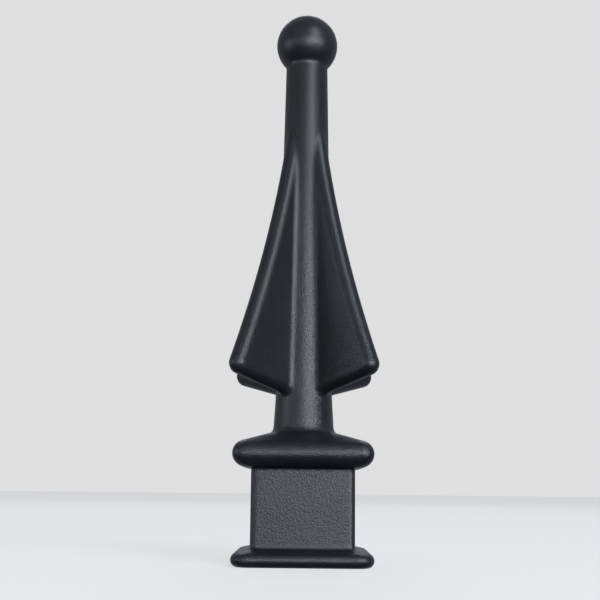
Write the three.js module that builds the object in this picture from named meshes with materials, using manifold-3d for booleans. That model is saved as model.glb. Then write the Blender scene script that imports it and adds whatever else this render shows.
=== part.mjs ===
// Spear point finial for the top of a square fence picket, moulded in one piece.
// It stands on its flange, and the socket for the picket is open below.
// Millimetres, +Z up, with the origin at the centre of the underside.

import * as THREE from "three";
import { mergeVertices } from "three/addons/utils/BufferGeometryUtils.js";
import Module from "manifold-3d";

// Square socket for the picket, and the body around it
const PICKET_WIDTH = 25.4;
const PICKET_CLEARANCE = 0.3;
const SOCKET_CORNER_RADIUS = 0.8;
const SOCKET_CEILING = 3.5;
const BODY_WALL = 2.2;
const BODY_HEIGHT = 28.3;
const BODY_CORNER_RADIUS = 1.8;

// Flange at the foot of the body, with a half-round edge under a slope
const FLANGE_OVERHANG = 5.4;
const FLANGE_CORNER_RADIUS = 4.2;
const FLANGE_EDGE_RADIUS = 2.1;
const FLANGE_SLOPE = 13;

// Collar at the head of the body: a half-round bead under a sloped roof
const BEAD_OVERHANG = 5.4;
const BEAD_RADIUS = 4;
const BEAD_CORNER_RADIUS = 3.2;
const ROOF_RISE = 2.9;

// Round shaft from the roof to the ball
const NECK_FOOT_RADIUS = 9.3;
const NECK_FILLET_RADIUS = 1.2;
const NECK_HEIGHT = 11.3;
const SHAFT_LOWER_RADIUS = 8.6;
const SHAFT_UPPER_RADIUS = 6.5;
const STEM_HEIGHT = 30.1;
const BALL_RADIUS = 9.8;

// Four fins on the diagonals, with fully rounded edges
const FIN_COUNT = 4;
const FIN_THICKNESS = 5.7;
const FIN_REACH = 30.1;
const FIN_WAIST_REACH = 16.2;
const FIN_HEIGHT = 76.4;
const FIN_TIP_RISE = 4.6;
const FIN_TIP_RADIUS = 3.6;
const FIN_HEEL_FILLET = 1.4;
const FIN_ROOT_FILLET = 1.2;

// Fineness of the round stretches
const CORNER_STEPS = 5;
const EDGE_STEPS = 8;
const BEAD_STEPS = 10;
const FIN_EDGE_STEPS = 5;
const SHAFT_SIDES = 48;
const BALL_STEPS = 16;
const FIN_CURVE_STEPS = 16;
const FIN_TIP_STEPS = 4;
const FILLET_STEPS = 4;

// How far surfaces that meet run into each other, so that they join cleanly
const SEAM_OVERLAP = 0.08;

// Corner points closer together than this are one point
const WELD_DISTANCE = 1e-4;

// Plan half widths
const socketHalf = PICKET_WIDTH / 2 + PICKET_CLEARANCE;
const bodyHalf = socketHalf + BODY_WALL;
const flangeHalf = bodyHalf + FLANGE_OVERHANG;
const beadHalf = bodyHalf + BEAD_OVERHANG;

// Heights above the underside
const beadCentreZ = BODY_HEIGHT + BEAD_RADIUS;
const beadTopZ = beadCentreZ + BEAD_RADIUS;
const socketTopZ = beadTopZ - SOCKET_CEILING;
const neckFootZ = beadTopZ + ROOF_RISE;
const finRootZ = neckFootZ + NECK_HEIGHT;
const finRadius = FIN_THICKNESS / 2;
const finTipZ = finRootZ + finRadius + FIN_TIP_RISE;
const finTopZ = finTipZ + FIN_HEIGHT;
const ballCentreZ = finTopZ + STEM_HEIGHT;

const radians = THREE.MathUtils.degToRad;
const mix = THREE.MathUtils.lerp;

const wasm = await Module();
wasm.setup();

// Turns a closed three.js geometry into a solid that can be joined and cut.
function solidOf(geometry) {
  const bare = geometry.clone();
  bare.deleteAttribute("normal");
  bare.deleteAttribute("uv");
  const merged = mergeVertices(bare, WELD_DISTANCE);
  const corners = merged.index.array;
  const kept = [];
  for (let i = 0; i < corners.length; i += 3) {
    const [a, b, c] = [corners[i], corners[i + 1], corners[i + 2]];
    if (a !== b && b !== c && c !== a) {
      kept.push(a, b, c);
    }
  }
  return new wasm.Manifold(new wasm.Mesh({
    numProp: 3,
    vertProperties: new Float32Array(merged.attributes.position.array),
    triVerts: new Uint32Array(kept),
  }));
}

// Turns a solid back into a three.js geometry.
function geometryOf(solid) {
  const mesh = solid.getMesh();
  const geometry = new THREE.BufferGeometry();
  geometry.setAttribute("position", new THREE.BufferAttribute(new Float32Array(mesh.vertProperties), 3));
  geometry.setIndex(new THREE.BufferAttribute(new Uint32Array(mesh.triVerts), 1));
  geometry.computeVertexNormals();
  return geometry;
}

// Radius of the tapered shaft at a height.
function shaftRadiusAt(z) {
  if (z < finRootZ) {
    return THREE.MathUtils.mapLinear(z, neckFootZ, finRootZ, NECK_FOOT_RADIUS, SHAFT_LOWER_RADIUS);
  }
  return THREE.MathUtils.mapLinear(z, finRootZ, ballCentreZ, SHAFT_LOWER_RADIUS, SHAFT_UPPER_RADIUS);
}

// A point of an arc in a profile, by the arc's centre, radius and angle in degrees.
function arcPoint(x, y, radius, angle) {
  return new THREE.Vector2(x + radius * Math.cos(radians(angle)), y + radius * Math.sin(radians(angle)));
}

// One level of a stack of rounded squares: half width, height and corner radius.
function level(half, z, corner) {
  return { half, z, corner };
}

// Levels of the flange: a half-round edge and a slope up to the body.
function flangeLevels() {
  const profile = [];
  for (let i = 0; i <= EDGE_STEPS; i++) {
    const angle = mix(-90, 90 - FLANGE_SLOPE, i / EDGE_STEPS);
    profile.push(arcPoint(flangeHalf - FLANGE_EDGE_RADIUS, FLANGE_EDGE_RADIUS, FLANGE_EDGE_RADIUS, angle));
  }
  const top = profile[profile.length - 1];
  profile.push(new THREE.Vector2(bodyHalf, top.y + (top.x - bodyHalf) * Math.tan(radians(FLANGE_SLOPE))));
  return profile.map(({ x, y }) => level(x, y, cornerBetween(x, flangeHalf, FLANGE_CORNER_RADIUS)));
}

// Levels of the half-round bead, from the body's head to the start of the roof.
function beadLevels() {
  const levels = [level(bodyHalf, BODY_HEIGHT, BODY_CORNER_RADIUS)];
  const roofStart = 90 - roofAngle();
  for (let i = 0; i <= BEAD_STEPS; i++) {
    const angle = mix(-90, roofStart, i / BEAD_STEPS);
    const point = arcPoint(beadHalf - BEAD_RADIUS, beadCentreZ, BEAD_RADIUS, angle);
    levels.push(level(point.x, point.y, cornerBetween(point.x, beadHalf, BEAD_CORNER_RADIUS)));
  }
  return levels;
}

// Slope of the roof in degrees: its line touches the bead and ends at the neck's foot.
function roofAngle() {
  const run = beadHalf - BEAD_RADIUS - NECK_FOOT_RADIUS;
  const rise = neckFootZ - beadCentreZ;
  const reach = Math.hypot(run, rise);
  return THREE.MathUtils.radToDeg(Math.atan2(rise, run) - Math.asin(BEAD_RADIUS / reach));
}

// Corner radius of a level that stands out from the body, growing with its overhang.
function cornerBetween(half, outerHalf, outerCorner) {
  return mix(BODY_CORNER_RADIUS, outerCorner, (half - bodyHalf) / (outerHalf - bodyHalf));
}

// The roof turns from the bead's rounded square into a circle, and ends inside the neck.
function roofLevels() {
  const inside = NECK_FOOT_RADIUS / 3;
  const slope = Math.tan(radians(roofAngle()));
  return [
    level(NECK_FOOT_RADIUS, neckFootZ, NECK_FOOT_RADIUS),
    level(NECK_FOOT_RADIUS - inside, neckFootZ + inside * slope, NECK_FOOT_RADIUS - inside),
  ];
}

// A closed stack of rounded squares: a lathed ring per level, with each ring's points
// moved onto the level's outline. Straight sides lie between the corners' last points.
function squaredStack(levels) {
  const ringPoints = 4 * (CORNER_STEPS + 1);
  const bottom = level(0, levels[0].z, 0);
  const top = level(0, levels[levels.length - 1].z, 0);
  const all = [bottom, ...levels, top];
  const profile = all.map(({ half, z }) => new THREE.Vector2(half, z));
  const geometry = new THREE.LatheGeometry(profile, ringPoints);
  geometry.rotateX(Math.PI / 2);
  const position = geometry.attributes.position;
  for (let i = 0; i <= ringPoints; i++) {
    const quarter = Math.floor(i / (CORNER_STEPS + 1)) % 4;
    const step = i % (CORNER_STEPS + 1);
    const angle = radians(90 * (quarter - 1 + step / CORNER_STEPS));
    const diagonal = radians(90 * quarter - 45);
    all.forEach(({ half, z, corner }, j) => {
      const centre = (half - corner) * Math.SQRT2;
      const x = centre * Math.cos(diagonal) + corner * Math.cos(angle);
      const y = centre * Math.sin(diagonal) + corner * Math.sin(angle);
      position.setXYZ(i * all.length + j, x, y, z);
    });
  }
  return geometry;
}

// Flange, body, bead and roof as one solid block.
function baseGeometry() {
  return squaredStack([...flangeLevels(), ...beadLevels(), ...roofLevels()]);
}

// The shaft with the fillet at its foot and the ball on top, turned about the axis.
function shaftGeometry() {
  const slope = radians(roofAngle());
  const filletX = NECK_FOOT_RADIUS + NECK_FILLET_RADIUS;
  const filletZ = neckFootZ + NECK_FILLET_RADIUS * (1 / Math.cos(slope) - Math.tan(slope)) - SEAM_OVERLAP;
  const startZ = mix(socketTopZ, beadTopZ, 0.5);
  const profile = [new THREE.Vector2(0, startZ), new THREE.Vector2(NECK_FOOT_RADIUS, startZ)];
  for (let i = 0; i <= FILLET_STEPS; i++) {
    const angle = mix(270 - roofAngle(), 180, i / FILLET_STEPS);
    profile.push(arcPoint(filletX, filletZ, NECK_FILLET_RADIUS, angle));
  }
  profile.push(new THREE.Vector2(SHAFT_LOWER_RADIUS, finRootZ));
  const seatAngle = THREE.MathUtils.radToDeg(Math.asin(SHAFT_UPPER_RADIUS / BALL_RADIUS)) - 90;
  for (let i = 0; i < BALL_STEPS; i++) {
    profile.push(arcPoint(0, ballCentreZ, BALL_RADIUS, mix(seatAngle, 90, i / BALL_STEPS)));
  }
  profile.push(new THREE.Vector2(0, ballCentreZ + BALL_RADIUS));
  const geometry = new THREE.LatheGeometry(profile, SHAFT_SIDES);
  geometry.rotateX(Math.PI / 2);
  return geometry;
}

// Outline of a fin's flat side, in distance from the axis and height.
// The fin's rounded edge stands out from it by half the fin's thickness.
function finOutline() {
  const tip = new THREE.Vector2(FIN_REACH - finRadius, finTipZ);
  const top = new THREE.Vector2(shaftRadiusAt(finTopZ) - finRadius, finTopZ);
  const waist = new THREE.Vector2(FIN_WAIST_REACH - finRadius, (finTipZ + finTopZ) / 2);
  const bend = waist.clone().multiplyScalar(2).sub(tip.clone().add(top).multiplyScalar(0.5));
  const lowerSlope = Math.atan2(FIN_TIP_RISE, tip.x - shaftRadiusAt(finRootZ));
  const tipBlend = FIN_TIP_RADIUS - finRadius;
  const alongLowerEdge = new THREE.Vector2(-Math.cos(lowerSlope), -Math.sin(lowerSlope));
  const beforeTip = tip.clone().addScaledVector(alongLowerEdge, tipBlend);
  const afterTip = tip.clone().add(bend.clone().sub(tip).setLength(tipBlend));
  const heel = heelCurve(tip, lowerSlope);
  const tipCurve = new THREE.QuadraticBezierCurve(beforeTip, tip, afterTip);
  const edgeCurve = new THREE.QuadraticBezierCurve(afterTip, bend, top);
  const outline = new THREE.Shape();
  outline.moveTo(0, heel[0].y);
  const curves = [heel, tipCurve.getPoints(FIN_TIP_STEPS), edgeCurve.getPoints(FIN_CURVE_STEPS).slice(1)];
  for (const point of curves.flat()) {
    outline.lineTo(point.x, point.y);
  }
  outline.lineTo(0, finTopZ);
  return outline;
}

// Points of the hollow curve that brings a fin's lower edge down into the shaft.
// Its first point lies just inside the shaft, where the curve runs straight down.
function heelCurve(tip, lowerSlope) {
  const wallX = shaftRadiusAt(finRootZ) - finRadius - SEAM_OVERLAP;
  const lineZ = tip.y - Math.tan(lowerSlope) * (tip.x - wallX);
  const radius = finRadius + FIN_HEEL_FILLET;
  const centreZ = lineZ + radius * (Math.tan(lowerSlope) - 1 / Math.cos(lowerSlope));
  const lineAngle = 90 + THREE.MathUtils.radToDeg(lowerSlope);
  const points = [];
  for (let i = 0; i <= FILLET_STEPS; i++) {
    points.push(arcPoint(wallX + radius, centreZ, radius, mix(180, lineAngle, i / FILLET_STEPS)));
  }
  return points;
}

// One fin in the X-Z plane: a plate with a half-round edge, filleted into the shaft.
function finSolid() {
  const flat = SEAM_OVERLAP;
  const plate = new THREE.ExtrudeGeometry(finOutline(), {
    depth: flat,
    bevelThickness: finRadius - flat / 2,
    bevelSize: finRadius,
    bevelSegments: FIN_EDGE_STEPS,
  });
  plate.translate(0, 0, -flat / 2);
  plate.rotateX(Math.PI / 2);
  const reach = finRadius + FIN_ROOT_FILLET;
  const envelope = new THREE.ExtrudeGeometry(finOutline(), { depth: 2 * reach, bevelEnabled: false });
  envelope.translate(0, 0, -reach);
  envelope.rotateX(Math.PI / 2);
  const fillets = solidOf(rootFilletGeometry(1)).add(solidOf(rootFilletGeometry(-1)));
  return solidOf(plate).add(fillets.intersect(solidOf(envelope)));
}

// Distance along a fin from the axis to the centre of its root fillet, at a height.
function filletCentreAt(z) {
  const toAxis = shaftRadiusAt(z) + FIN_ROOT_FILLET;
  const toPlane = finRadius + FIN_ROOT_FILLET;
  return Math.sqrt(toAxis * toAxis - toPlane * toPlane);
}

// The concave strip between the shaft and one side of a fin, leaning with the shaft's taper.
function rootFilletGeometry(side) {
  const height = finTopZ - finRootZ;
  const centreX = filletCentreAt(finRootZ);
  const centreY = finRadius + FIN_ROOT_FILLET;
  const towardsAxis = 180 + THREE.MathUtils.radToDeg(Math.atan2(centreY, centreX));
  const radius = FIN_ROOT_FILLET + SEAM_OVERLAP;
  const section = new THREE.Shape();
  section.moveTo(centreX - radius, 0);
  section.lineTo(centreX, 0);
  for (let i = 0; i <= FILLET_STEPS; i++) {
    const point = arcPoint(centreX, centreY, radius, mix(270, towardsAxis, i / FILLET_STEPS));
    section.lineTo(point.x, side * point.y);
  }
  const strip = new THREE.ExtrudeGeometry(section, { depth: height, bevelEnabled: false });
  const lean = (filletCentreAt(finTopZ) - centreX) / height;
  strip.applyMatrix4(new THREE.Matrix4().makeShear(0, 0, 0, 0, lean, 0));
  strip.translate(0, 0, finRootZ);
  return strip;
}

// Space for the picket: a rounded square that runs out through the underside.
function socketGeometry() {
  const below = BODY_WALL;
  const straight = socketHalf - SOCKET_CORNER_RADIUS;
  const outline = new THREE.Shape();
  for (let quarter = 0; quarter < 4; quarter++) {
    const start = quarter * Math.PI / 2;
    const diagonal = start + Math.PI / 4;
    const x = straight * Math.SQRT2 * Math.cos(diagonal);
    const y = straight * Math.SQRT2 * Math.sin(diagonal);
    outline.absarc(x, y, SOCKET_CORNER_RADIUS, start, start + Math.PI / 2, false);
  }
  const socket = new THREE.ExtrudeGeometry(outline, {
    depth: socketTopZ + below,
    bevelEnabled: false,
    curveSegments: CORNER_STEPS,
  });
  socket.translate(0, 0, -below);
  return socket;
}

// The whole moulding as one solid.
function finialSolid() {
  let solid = solidOf(baseGeometry()).add(solidOf(shaftGeometry()));
  const fin = geometryOf(finSolid());
  for (let i = 0; i < FIN_COUNT; i++) {
    const turned = fin.clone().rotateZ(radians(45 + 360 * i / FIN_COUNT));
    solid = solid.add(solidOf(turned));
  }
  return solid.subtract(solidOf(socketGeometry()));
}

const blackPlastic = new THREE.MeshStandardMaterial({ color: 0x1b1c1f, roughness: 0.5, metalness: 0 });

const finial = new THREE.Mesh(geometryOf(finialSolid()), blackPlastic);
finial.name = "finial";

const part = new THREE.Group();
part.add(finial);

export default part;
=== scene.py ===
"""Looks of the spear point finial: one fine mesh over the CAD solid, in satin black plastic."""

import math

import bpy
import numpy as np
from mathutils import Matrix, Vector


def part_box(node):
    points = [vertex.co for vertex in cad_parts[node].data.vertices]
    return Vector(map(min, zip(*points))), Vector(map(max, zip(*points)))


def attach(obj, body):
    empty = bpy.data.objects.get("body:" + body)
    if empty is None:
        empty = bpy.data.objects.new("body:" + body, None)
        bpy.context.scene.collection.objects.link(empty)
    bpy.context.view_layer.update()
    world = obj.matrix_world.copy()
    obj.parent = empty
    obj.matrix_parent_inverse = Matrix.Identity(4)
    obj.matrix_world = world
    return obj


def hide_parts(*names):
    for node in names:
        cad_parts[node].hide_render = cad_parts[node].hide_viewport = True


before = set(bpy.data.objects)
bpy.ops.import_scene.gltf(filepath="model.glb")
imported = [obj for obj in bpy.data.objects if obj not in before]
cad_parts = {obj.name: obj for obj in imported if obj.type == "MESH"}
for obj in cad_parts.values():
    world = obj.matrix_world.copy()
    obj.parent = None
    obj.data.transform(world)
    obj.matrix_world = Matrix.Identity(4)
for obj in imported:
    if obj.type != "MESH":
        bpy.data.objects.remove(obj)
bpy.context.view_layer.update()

MM = 0.001

# Sizes in millimetres. The driving ones are the solid's, and some fine fillets are added to them.
# Square socket for the picket, and the body around it
PICKET_WIDTH = 25.4
PICKET_CLEARANCE = 0.3
SOCKET_CORNER = 0.8
SOCKET_CEILING = 3.5
SOCKET_EDGE = 0.35
BODY_WALL = 2.2
BODY_HEIGHT = 28.3
BODY_CORNER = 1.8
BODY_FILLET = 0.5

# Flange at the foot of the body, with a half-round edge under a slope
FLANGE_OVERHANG = 5.4
FLANGE_CORNER = 4.2
FLANGE_EDGE = 2.1
FLANGE_SLOPE = math.radians(13)

# Collar at the head of the body: a half-round bead under a sloped roof, which ends inside the neck
BEAD_OVERHANG = 5.4
BEAD_RADIUS = 4.0
BEAD_CORNER = 3.2
ROOF_RISE = 2.9
ROOF_OVERLAP = 1.0

# Round shaft from the roof to the ball, with a soft bend between its two tapers
NECK_FOOT_RADIUS = 9.3
NECK_FILLET = 1.2
NECK_HEIGHT = 11.3
SHAFT_LOWER_RADIUS = 8.6
SHAFT_UPPER_RADIUS = 6.5
SHAFT_SOFTNESS = 0.2
STEM_HEIGHT = 30.1
BALL_RADIUS = 9.8
BALL_SEAT = 0.5

# Four fins on the diagonals, whose fillets fade out below their top
FIN_RADIUS = 2.85
FIN_REACH = 30.1
FIN_WAIST_REACH = 16.2
FIN_HEIGHT = 76.4
FIN_TIP_RISE = 4.6
FIN_TIP_BLEND = 0.75
FIN_FILLET = 1.2
FIN_FILLET_FADE = 22.0

# Half widths
SOCKET_HALF = PICKET_WIDTH / 2 + PICKET_CLEARANCE
BODY_HALF = SOCKET_HALF + BODY_WALL
FLANGE_HALF = BODY_HALF + FLANGE_OVERHANG
BEAD_HALF = BODY_HALF + BEAD_OVERHANG

# Heights above the underside
BEAD_Z = BODY_HEIGHT + BEAD_RADIUS
BEAD_TOP_Z = BEAD_Z + BEAD_RADIUS
SOCKET_TOP_Z = BEAD_TOP_Z - SOCKET_CEILING
ROOF_TOP_Z = BEAD_TOP_Z + ROOF_RISE
FIN_ROOT_Z = ROOF_TOP_Z + NECK_HEIGHT
FIN_TIP_Z = FIN_ROOT_Z + FIN_RADIUS + FIN_TIP_RISE
FIN_TOP_Z = FIN_TIP_Z + FIN_HEIGHT
BALL_Z = FIN_TOP_Z + STEM_HEIGHT

# Points on the outlines' round stretches
FLANGE_EDGE_STEPS = 32
FIN_TIP_STEPS = 6
FIN_CURVE_STEPS = 40

# Grid of the fine mesh: its cells are finer near the edges of the base, and grow a little way off
CELL = 0.8
FINE_CELL = 0.45
FINE_REACH = 0.45
FINE_FADE = 0.9
GRID_SAMPLES = 8000
SPACE_AROUND = 1.5
SPACE_BELOW = 1.2

# A form that is further than this from a point has no part in the surface there
NEAR = 4.0

# Moving the mesh onto the surface
SETTLE_ROUNDS = 4
GRADIENT_STEP = 0.02
LEAST_SQUARED_SLOPE = 0.2


def quadratic(start, control, end, steps):
    """Points of a quadratic curve, without its first one."""
    t = np.linspace(0, 1, steps + 1)[1:, None]
    return start * (1 - t) ** 2 + control * 2 * t * (1 - t) + end * t**2


def arc(centre, radius, start, end, steps):
    """Points of an arc, with angles in radians."""
    angle = np.linspace(start, end, steps + 1)
    return np.stack([centre[0] + radius * np.cos(angle), centre[1] + radius * np.sin(angle)], axis=1)


def shaft_radius(z):
    """Radius of the shaft at a height: a tapered neck that runs smoothly into a slimmer taper."""
    neck_slope = (SHAFT_LOWER_RADIUS - NECK_FOOT_RADIUS) / (FIN_ROOT_Z - ROOF_TOP_Z)
    stem_slope = (SHAFT_UPPER_RADIUS - SHAFT_LOWER_RADIUS) / (BALL_Z - FIN_ROOT_Z)
    neck = SHAFT_LOWER_RADIUS + neck_slope * (z - FIN_ROOT_Z)
    stem = SHAFT_LOWER_RADIUS + stem_slope * (z - FIN_ROOT_Z)
    blend = np.maximum(SHAFT_SOFTNESS - np.abs(neck - stem), 0) ** 2 / (4 * SHAFT_SOFTNESS)
    return np.maximum(neck, stem) + blend


def fin_path():
    """Closed outline of a fin's flat side, in distance from the axis and height."""
    tip = np.array([FIN_REACH - FIN_RADIUS, FIN_TIP_Z])
    top = np.array([float(shaft_radius(FIN_TOP_Z)) - FIN_RADIUS, FIN_TOP_Z])
    waist = np.array([FIN_WAIST_REACH - FIN_RADIUS, (FIN_TIP_Z + FIN_TOP_Z) / 2])
    bend = 2 * waist - (tip + top) / 2
    root = np.array([SHAFT_LOWER_RADIUS, FIN_ROOT_Z + FIN_RADIUS])
    inward = (root - tip) / np.linalg.norm(root - tip)
    upward = (bend - tip) / np.linalg.norm(bend - tip)
    before_tip = tip + inward * FIN_TIP_BLEND
    after_tip = tip + upward * FIN_TIP_BLEND
    at_axis = tip + inward * (tip[0] / -inward[0])
    return np.vstack([
        at_axis,
        before_tip,
        quadratic(before_tip, tip, after_tip, FIN_TIP_STEPS),
        quadratic(after_tip, bend, top, FIN_CURVE_STEPS),
        [0, FIN_TOP_Z],
    ])


def flange_profile():
    """Closed outline of the flange, in half width and height."""
    centre = (FLANGE_HALF - FLANGE_EDGE, FLANGE_EDGE)
    edge = arc(centre, FLANGE_EDGE, -math.pi / 2, math.pi / 2 - FLANGE_SLOPE, FLANGE_EDGE_STEPS)
    end_x, end_z = edge[-1]
    rise = end_z + end_x * math.tan(FLANGE_SLOPE)
    return np.vstack([[0, 0], edge, [0, rise]])


FIN_PATH = fin_path()
FLANGE_PROFILE = flange_profile()


def polygon_distance(x, y, points):
    """Signed distance to a closed polygon, negative inside."""
    nearest = np.full(x.shape, np.inf)
    inside = np.zeros(x.shape, bool)
    for (ax, ay), (bx, by) in zip(points, np.roll(points, -1, axis=0)):
        ex, ey = bx - ax, by - ay
        wx, wy = x - ax, y - ay
        t = np.clip((wx * ex + wy * ey) / (ex * ex + ey * ey), 0, 1)
        nearest = np.minimum(nearest, (wx - ex * t) ** 2 + (wy - ey * t) ** 2)
        crosses = (ay > y) != (by > y)
        inside ^= crosses & ((wx * ey < wy * ex) == (ey > 0))
    return np.sqrt(nearest) * np.where(inside, -1, 1)


def rounded_square(u, v, half, corner):
    """Signed distance to a square with rounded corners, for u and v at or above zero."""
    qu, qv = u - (half - corner), v - (half - corner)
    return np.hypot(np.maximum(qu, 0), np.maximum(qv, 0)) + np.minimum(np.maximum(qu, qv), 0) - corner


def corner_growth(outer_half, outer_corner):
    """Growth of the corner radius with the half width, from the body's square to an outer one."""
    return (outer_corner - BODY_CORNER) / (outer_half - BODY_HALF)


def level_of(u, v, outer_half, outer_corner):
    """Half width of the rounded square through a point, in a family of squares whose corner
    radius grows evenly from the body's to the outer one's."""
    growth = corner_growth(outer_half, outer_corner)
    base = BODY_CORNER - growth * BODY_HALF
    far, near = np.maximum(u, v), np.minimum(u, v)
    p, q = far + base, near + base
    # On the corner's arc the half width is a root of a quadratic
    a = 2 * (1 - growth) ** 2 - growth**2
    b = (1 - growth) * (p + q) + growth * base
    c = p * p + q * q - base * base
    on_corner = (b - np.sqrt(np.maximum(b * b - a * c, 0))) / a
    corner = np.maximum(growth * far + base, 0)
    return np.where(near <= far - corner, far, on_corner)


def round_union(a, b, radius):
    """Union of two distance fields, with a hollow fillet between them."""
    joined = np.maximum(radius, np.minimum(a, b))
    return joined - np.hypot(np.maximum(radius - a, 0), np.maximum(radius - b, 0))


def round_cut(a, b, radius):
    """Distance field a with b cut away, and the edge rounded over."""
    return -round_union(-a, b, radius)


def smooth_step(x):
    """Rises smoothly from 0 to 1 while x does."""
    x = np.clip(x, 0, 1)
    return x * x * (3 - 2 * x)


def collar_distance(u, v, z):
    """Half-round bead, and the roof above it, whose rounded square turns into the neck's circle."""
    bead_level = level_of(u, v, BEAD_HALF, BEAD_CORNER)
    bead = np.hypot(np.maximum(bead_level - BEAD_HALF + BEAD_RADIUS, 0), z - BEAD_Z) - BEAD_RADIUS
    run = BEAD_HALF - BEAD_RADIUS - NECK_FOOT_RADIUS
    rise = ROOF_TOP_Z - BEAD_Z
    slope = math.atan2(rise, run) - math.asin(BEAD_RADIUS / math.hypot(run, rise))
    start_half = BEAD_HALF - BEAD_RADIUS + BEAD_RADIUS * math.sin(slope)
    start_z = BEAD_Z + BEAD_RADIUS * math.cos(slope)
    start_corner = BODY_CORNER + corner_growth(BEAD_HALF, BEAD_CORNER) * (start_half - BODY_HALF)
    t = (z - start_z) / (ROOF_TOP_Z - start_z)
    half = start_half + (NECK_FOOT_RADIUS - start_half) * t
    corner = np.minimum(start_corner + (NECK_FOOT_RADIUS - start_corner) * t, half)
    roof = rounded_square(u, v, half, np.maximum(corner, 0)) * math.sin(slope)
    return np.where(z < start_z, bead, np.maximum(roof, z - ROOF_TOP_Z - ROOF_OVERLAP))


def base_distance(u, v, z):
    """Flange, body, bead and roof, without the socket."""
    flange = polygon_distance(level_of(u, v, FLANGE_HALF, FLANGE_CORNER), z, FLANGE_PROFILE)
    body_ends = np.maximum(FLANGE_EDGE - z, z - BEAD_Z)
    body = np.maximum(rounded_square(u, v, BODY_HALF, BODY_CORNER), body_ends)
    return round_union(round_union(flange, body, BODY_FILLET), collar_distance(u, v, z), BODY_FILLET)


def fin_distance(u, v, z):
    """The fin on the diagonal between u and v: a plate with a fully rounded edge."""
    along = (u + v) / math.sqrt(2)
    across = (v - u) / math.sqrt(2)
    side = np.maximum(polygon_distance(along, z, FIN_PATH), 0)
    return np.hypot(side, across) - FIN_RADIUS


def finial_distance(points):
    """Signed distance in millimetres to the finial's surface, negative inside."""
    u, v, z = np.abs(points[:, 0]), np.abs(points[:, 1]), points[:, 2]
    radius = np.hypot(u, v)
    shaft = np.maximum(radius - shaft_radius(z), np.maximum(BEAD_Z - z, z - BALL_Z))
    ball = np.hypot(radius, z - BALL_Z) - BALL_RADIUS
    whole = round_union(shaft, ball, BALL_SEAT)
    low = z < ROOF_TOP_Z + NEAR
    whole[low] = round_union(whole[low], base_distance(u[low], v[low], z[low]), NECK_FILLET)
    finned = (z > FIN_ROOT_Z - NEAR) & (z < FIN_TOP_Z + NEAR)
    fin = fin_distance(u[finned], v[finned], z[finned])
    fillet = FIN_FILLET * smooth_step((FIN_TOP_Z - z[finned]) / FIN_FILLET_FADE)
    whole[finned] = round_union(whole[finned], fin, fillet)
    hollow = z < SOCKET_TOP_Z + NEAR
    hole = rounded_square(u[hollow], v[hollow], SOCKET_HALF, SOCKET_CORNER)
    hole = np.maximum(hole, z[hollow] - SOCKET_TOP_Z)
    whole[hollow] = round_cut(whole[hollow], hole, SOCKET_EDGE)
    return whole


def grid_lines(low, high, fine_at):
    """Grid coordinates from low to high, closer together around the given values."""
    samples = np.linspace(low, high, GRID_SAMPLES)
    nearest = np.min([np.abs(samples - value) for value in fine_at], axis=0)
    cell = FINE_CELL + (CELL - FINE_CELL) * smooth_step((nearest - FINE_REACH) / FINE_FADE)
    count = np.concatenate([[0], np.cumsum(np.diff(samples) / cell[1:])])
    return np.interp(np.linspace(0, count[-1], int(count[-1]) + 1), count, samples)


def sample_field(across, up):
    """The field on the grid, worked out on an eighth of it and mirrored to the rest."""
    half = across[len(across) // 2:]
    i, j = np.nonzero(np.tri(len(half), dtype=bool))
    columns = np.stack([half[i], half[j]], axis=1)
    points = np.column_stack([np.repeat(columns, len(up), axis=0), np.tile(up, len(columns))])
    values = finial_distance(points).reshape(len(columns), len(up))
    quarter = np.zeros((len(half), len(half), len(up)))
    quarter[i, j] = values
    quarter[j, i] = values
    mirrored = np.concatenate([quarter[:0:-1], quarter], axis=0)
    return np.concatenate([mirrored[:, :0:-1], mirrored], axis=1)


def surface_net(field, lines):
    """Vertices and quads of the field's zero surface: one vertex in each cell that it crosses."""
    shape = np.array(field.shape)
    cells = shape - 1
    total = np.zeros((np.prod(cells), 3))
    count = np.zeros(np.prod(cells))
    rings = []
    for axis in range(3):
        u, v = (axis + 1) % 3, (axis + 2) % 3
        lower = np.take(field, range(shape[axis] - 1), axis)
        upper = np.take(field, range(1, shape[axis]), axis)
        edge = np.argwhere((lower < 0) != (upper < 0))
        a, b = lower[tuple(edge.T)], upper[tuple(edge.T)]
        place = np.stack([lines[k][edge[:, k]] for k in range(3)], axis=1)
        ahead = lines[axis][edge[:, axis] + 1]
        place[:, axis] += (ahead - place[:, axis]) * a / (a - b)
        ring = []
        for du, dv in ((-1, -1), (0, -1), (0, 0), (-1, 0)):
            cell = edge.copy()
            cell[:, u] += du
            cell[:, v] += dv
            flat = np.ravel_multi_index(tuple(cell.T), cells)
            for k in range(3):
                total[:, k] += np.bincount(flat, place[:, k], len(total))
            count += np.bincount(flat, minlength=len(count))
            ring.append(flat)
        ring = np.stack(ring, axis=1)
        rings.append(np.where((a < 0)[:, None], ring, ring[:, ::-1]))
    used = np.flatnonzero(count)
    number = np.full(len(count), -1)
    number[used] = np.arange(len(used))
    return total[used] / count[used, None], number[np.vstack(rings)]


def gradient(points):
    """Slope of the field at each point, along the three axes."""
    columns = []
    for offset in np.eye(3) * GRADIENT_STEP:
        difference = finial_distance(points + offset) - finial_distance(points - offset)
        columns.append(difference / (2 * GRADIENT_STEP))
    return np.stack(columns, axis=1)


def settle(points):
    """Moves points onto the zero surface along the field's gradient."""
    for _ in range(SETTLE_ROUNDS):
        slope = gradient(points)
        squared_slope = np.maximum((slope**2).sum(axis=1), LEAST_SQUARED_SLOPE)
        move = finial_distance(points) / squared_slope
        points = points - slope * np.clip(move, -CELL / 2, CELL / 2)[:, None]
    return points


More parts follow.
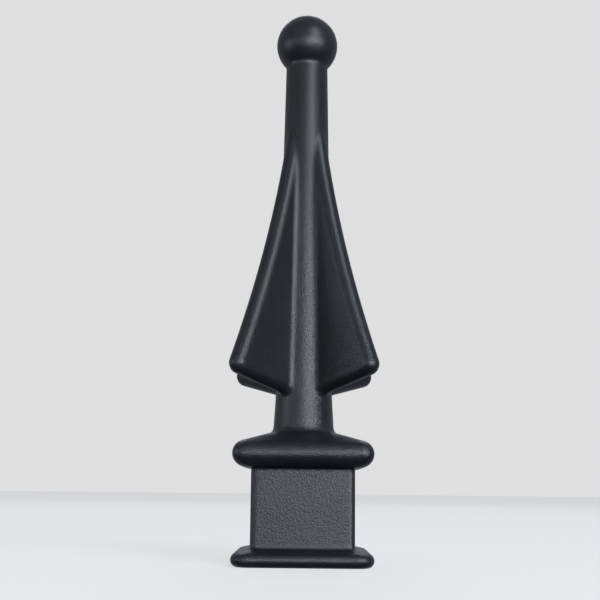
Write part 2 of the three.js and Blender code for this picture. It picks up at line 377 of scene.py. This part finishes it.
def build_finial():
    """The finial as one smooth mesh, on a grid that is laid out around the solid's box."""
    low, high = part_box("finial")
    half = grid_lines(0, high.x / MM + SPACE_AROUND, [SOCKET_HALF, BODY_HALF, FLANGE_HALF])
    across = np.concatenate([-half[:0:-1], half])
    edges = [low.z / MM, FLANGE_EDGE, BODY_HEIGHT, SOCKET_TOP_Z]
    up = grid_lines(low.z / MM - SPACE_BELOW, high.z / MM + SPACE_AROUND, edges)
    points, quads = surface_net(sample_field(across, up), [across, across, up])
    points = settle(points)
    mesh = bpy.data.meshes.new("finial_body")
    mesh.from_pydata((points * MM).tolist(), [], quads.tolist())
    mesh.polygons.foreach_set("use_smooth", np.ones(len(quads), bool))
    mesh.update()
    piece = bpy.data.objects.new("finial_body", mesh)
    bpy.context.scene.collection.objects.link(piece)
    print("finial mesh:", len(points), "vertices,", 2 * len(quads), "triangles")
    return piece


def colour_ramp(nodes, stops):
    """A ramp through the given stops, each a position and a colour."""
    node = nodes.new("ShaderNodeValToRGB")
    elements = node.color_ramp.elements
    elements.remove(elements[1])
    first_position, first_colour = stops[0]
    elements[0].position = first_position
    elements[0].color = (*first_colour, 1)
    for position, colour in stops[1:]:
        elements.new(position).color = (*colour, 1)
    return node


# Black plastic: two tints that drift into each other, and a grain that fades on the way up, whose
# depth and heights are in millimetres
TINT_DARK = (0.0075, 0.0083, 0.0102)
TINT_LIGHT = (0.0105, 0.0115, 0.014)
GRAIN_DEPTH = 0.13
GRAIN_FADE_START = 80.0
GRAIN_FADE_END = 130.0
STEM_GRAIN = 0.15
BASE_ROUGHNESS = 0.34
STEM_ROUGHNESS = 0.4
GRAIN_ROUGHNESS = 0.06


def black_plastic():
    """Satin black moulded plastic, with a pebbled grain that grows faint along the fins."""
    material = bpy.data.materials.new("black_plastic")
    material.use_nodes = True
    nodes, links = material.node_tree.nodes, material.node_tree.links
    shader = nodes["Principled BSDF"]
    place = nodes.new("ShaderNodeTexCoord")
    split = nodes.new("ShaderNodeSeparateXYZ")
    links.new(place.outputs["Object"], split.inputs["Vector"])

    def noise(scale, detail, roughness):
        node = nodes.new("ShaderNodeTexNoise")
        node.inputs["Scale"].default_value = scale
        node.inputs["Detail"].default_value = detail
        node.inputs["Roughness"].default_value = roughness
        links.new(place.outputs["Object"], node.inputs["Vector"])
        return node.outputs["Fac"]

    def stretch(value, start, end, low, high):
        node = nodes.new("ShaderNodeMapRange")
        node.inputs["From Min"].default_value = start
        node.inputs["From Max"].default_value = end
        node.inputs["To Min"].default_value = low
        node.inputs["To Max"].default_value = high
        links.new(value, node.inputs["Value"])
        return node.outputs["Result"]

    def up_the_finial(low, high):
        return stretch(split.outputs["Z"], GRAIN_FADE_START * MM, GRAIN_FADE_END * MM, low, high)

    def combine(operation, a, b):
        node = nodes.new("ShaderNodeMath")
        node.operation = operation
        links.new(a, node.inputs[0])
        links.new(b, node.inputs[1])
        return node.outputs["Value"]

    cloud = noise(scale=90, detail=3, roughness=0.5)
    grain = noise(scale=2200, detail=2, roughness=0.6)
    tint = colour_ramp(nodes, [(0.35, TINT_DARK), (0.65, TINT_LIGHT)])
    links.new(cloud, tint.inputs["Fac"])
    links.new(tint.outputs["Color"], shader.inputs["Base Color"])
    satin = up_the_finial(BASE_ROUGHNESS, STEM_ROUGHNESS)
    flecks = stretch(grain, start=0.3, end=0.7, low=-GRAIN_ROUGHNESS, high=GRAIN_ROUGHNESS)
    links.new(combine("ADD", satin, flecks), shader.inputs["Roughness"])
    bump = nodes.new("ShaderNodeBump")
    bump.inputs["Strength"].default_value = 1.0
    bump.inputs["Distance"].default_value = GRAIN_DEPTH * MM
    links.new(combine("MULTIPLY", grain, up_the_finial(1.0, STEM_GRAIN)), bump.inputs["Height"])
    links.new(bump.outputs["Normal"], shader.inputs["Normal"])
    return material


# Floor: half its side in metres, its paint, and a glow that keeps it pale far from the lights
FLOOR_HALF = 6.0
FLOOR_PAINT = (0.3, 0.3, 0.3)
FLOOR_GLOW = 0.58


def build_floor():
    """A plain pale floor, which neither shows in the plastic nor lights it."""
    mesh = bpy.data.meshes.new("floor")
    size = FLOOR_HALF
    corners = [(-size, -size, 0), (size, -size, 0), (size, size, 0), (-size, size, 0)]
    mesh.from_pydata(corners, [], [(0, 1, 2, 3)])
    floor = bpy.data.objects.new("floor", mesh)
    bpy.context.scene.collection.objects.link(floor)
    paint = bpy.data.materials.new("floor_paint")
    paint.use_nodes = True
    shader = paint.node_tree.nodes["Principled BSDF"]
    shader.inputs["Base Color"].default_value = (*FLOOR_PAINT, 1)
    shader.inputs["Roughness"].default_value = 0.9
    shader.inputs["Emission Color"].default_value = (1, 1, 1, 1)
    shader.inputs["Emission Strength"].default_value = FLOOR_GLOW
    mesh.materials.append(paint)
    floor.visible_glossy = False
    floor.visible_diffuse = False


# Lights: their distance in metres, the height in millimetres that they face, and their colour
LIGHT_DISTANCE = 1.5
LIT_HEIGHT = 85.0
COOL_WHITE = (0.84, 0.9, 1.0)


def soft_box(name, azimuth, elevation, width, height, power):
    """An area light turned towards the finial's middle. Azimuth 0 is in front and grows to the
    right, both angles are in degrees, and the sizes are in metres."""
    light = bpy.data.lights.new(name, "AREA")
    light.shape = "RECTANGLE"
    light.size = width
    light.size_y = height
    light.energy = power
    light.color = COOL_WHITE
    lamp = bpy.data.objects.new(name, light)
    turn, lift = math.radians(azimuth), math.radians(elevation)
    level = math.cos(lift)
    towards = Vector((math.sin(turn) * level, -math.cos(turn) * level, math.sin(lift)))
    lamp.location = Vector((0, 0, LIT_HEIGHT * MM)) + towards * LIGHT_DISTANCE
    lamp.rotation_euler = towards.to_track_quat("Z", "Y").to_euler()
    bpy.context.scene.collection.objects.link(lamp)


def build_lights():
    """Soft boxes in front, the strongest ones on the right, and a weak one behind."""
    soft_box("key", azimuth=31, elevation=23, width=0.4, height=1.25, power=5.4)
    soft_box("high", azimuth=32, elevation=40, width=0.65, height=0.4, power=4.4)
    soft_box("front", azimuth=16, elevation=5, width=0.9, height=0.4, power=13.0)
    soft_box("edge", azimuth=46, elevation=6, width=0.5, height=0.36, power=6.5)
    soft_box("low_left", azimuth=-27, elevation=5, width=1.7, height=0.3, power=4.6)
    soft_box("high_left", azimuth=-35, elevation=42, width=0.8, height=0.4, power=1.0)
    soft_box("left", azimuth=-74, elevation=4, width=0.7, height=0.5, power=3.2)
    soft_box("behind", azimuth=180, elevation=38, width=0.9, height=0.5, power=3.5)


# World: the pale backdrop that the camera sees, and a dim light that grows towards one direction
BACKDROP = (0.74, 0.74, 0.75)
LIGHTER_SIDE = (0, 0.94, 0.34)
WORLD_FRONT = (0.02, 0.022, 0.025)
WORLD_BESIDE = (0.13, 0.14, 0.16)
WORLD_BACK = (0.30, 0.32, 0.36)


def build_world():
    """A dim light from all around, mostly from behind, and a pale backdrop for the camera."""
    world = bpy.context.scene.world or bpy.data.worlds.new("studio")
    bpy.context.scene.world = world
    world.use_nodes = True
    nodes, links = world.node_tree.nodes, world.node_tree.links
    shown, lighting = nodes["Background"], nodes.new("ShaderNodeBackground")
    shown.inputs["Color"].default_value = (*BACKDROP, 1)
    shown.inputs["Strength"].default_value = 1.0
    place = nodes.new("ShaderNodeTexCoord")
    backward = nodes.new("ShaderNodeVectorMath")
    backward.operation = "DOT_PRODUCT"
    backward.inputs[1].default_value = LIGHTER_SIDE
    links.new(place.outputs["Generated"], backward.inputs[0])
    to_ramp = nodes.new("ShaderNodeMapRange")
    to_ramp.inputs["From Min"].default_value = -1
    links.new(backward.outputs["Value"], to_ramp.inputs["Value"])
    sky = colour_ramp(nodes, [(0.25, WORLD_FRONT), (0.5, WORLD_BESIDE), (0.75, WORLD_BACK)])
    links.new(to_ramp.outputs["Result"], sky.inputs["Fac"])
    links.new(sky.outputs["Color"], lighting.inputs["Color"])
    path = nodes.new("ShaderNodeLightPath")
    choice = nodes.new("ShaderNodeMixShader")
    links.new(path.outputs["Is Camera Ray"], choice.inputs["Fac"])
    links.new(lighting.outputs["Background"], choice.inputs[1])
    links.new(shown.outputs["Background"], choice.inputs[2])
    links.new(choice.outputs["Shader"], nodes["World Output"].inputs["Surface"])


# Camera of the photograph: its place in millimetres and its turn, in the finial's frame
CAMERA_DISTANCE = 331.3
CAMERA_HEIGHT = 21.8
CAMERA_ASIDE = 1.49
CAMERA_PITCH = math.radians(10.03)
CAMERA_ROLL = math.radians(0.6)
CAMERA_YAW = math.radians(-0.255)
FOCAL_PIXELS = 1075.3
IMAGE_PIXELS = 600
SENSOR_WIDTH = 36
CLIP_START = 0.01
CLIP_END = 20


def build_camera():
    """The photograph's camera, which looks slightly up at the finial from its front."""
    turn = Matrix.Rotation(-CAMERA_YAW, 3, "Z")
    place = turn @ Vector((-CAMERA_ASIDE, -CAMERA_DISTANCE, CAMERA_HEIGHT)) * MM
    forward = turn @ Vector((0, math.cos(CAMERA_PITCH), math.sin(CAMERA_PITCH)))
    right = turn @ Vector((1, 0, 0))
    up = right.cross(forward)
    rolled_right = right * math.cos(CAMERA_ROLL) + up * math.sin(CAMERA_ROLL)
    rolled_up = up * math.cos(CAMERA_ROLL) - right * math.sin(CAMERA_ROLL)
    data = bpy.data.cameras.new("camera")
    data.sensor_width = SENSOR_WIDTH
    data.lens = SENSOR_WIDTH * FOCAL_PIXELS / IMAGE_PIXELS
    data.clip_start = CLIP_START
    data.clip_end = CLIP_END
    camera = bpy.data.objects.new("camera", data)
    axes = Matrix((rolled_right, rolled_up, -forward)).transposed()
    camera.matrix_world = Matrix.Translation(place) @ axes.to_4x4()
    bpy.context.scene.collection.objects.link(camera)
    bpy.context.scene.camera = camera


finial = build_finial()
finial.data.materials.append(black_plastic())
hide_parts("finial")
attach(finial, "root")
build_floor()
build_lights()
build_world()
build_camera()
bpy.context.scene.view_settings.view_transform = "Standard"
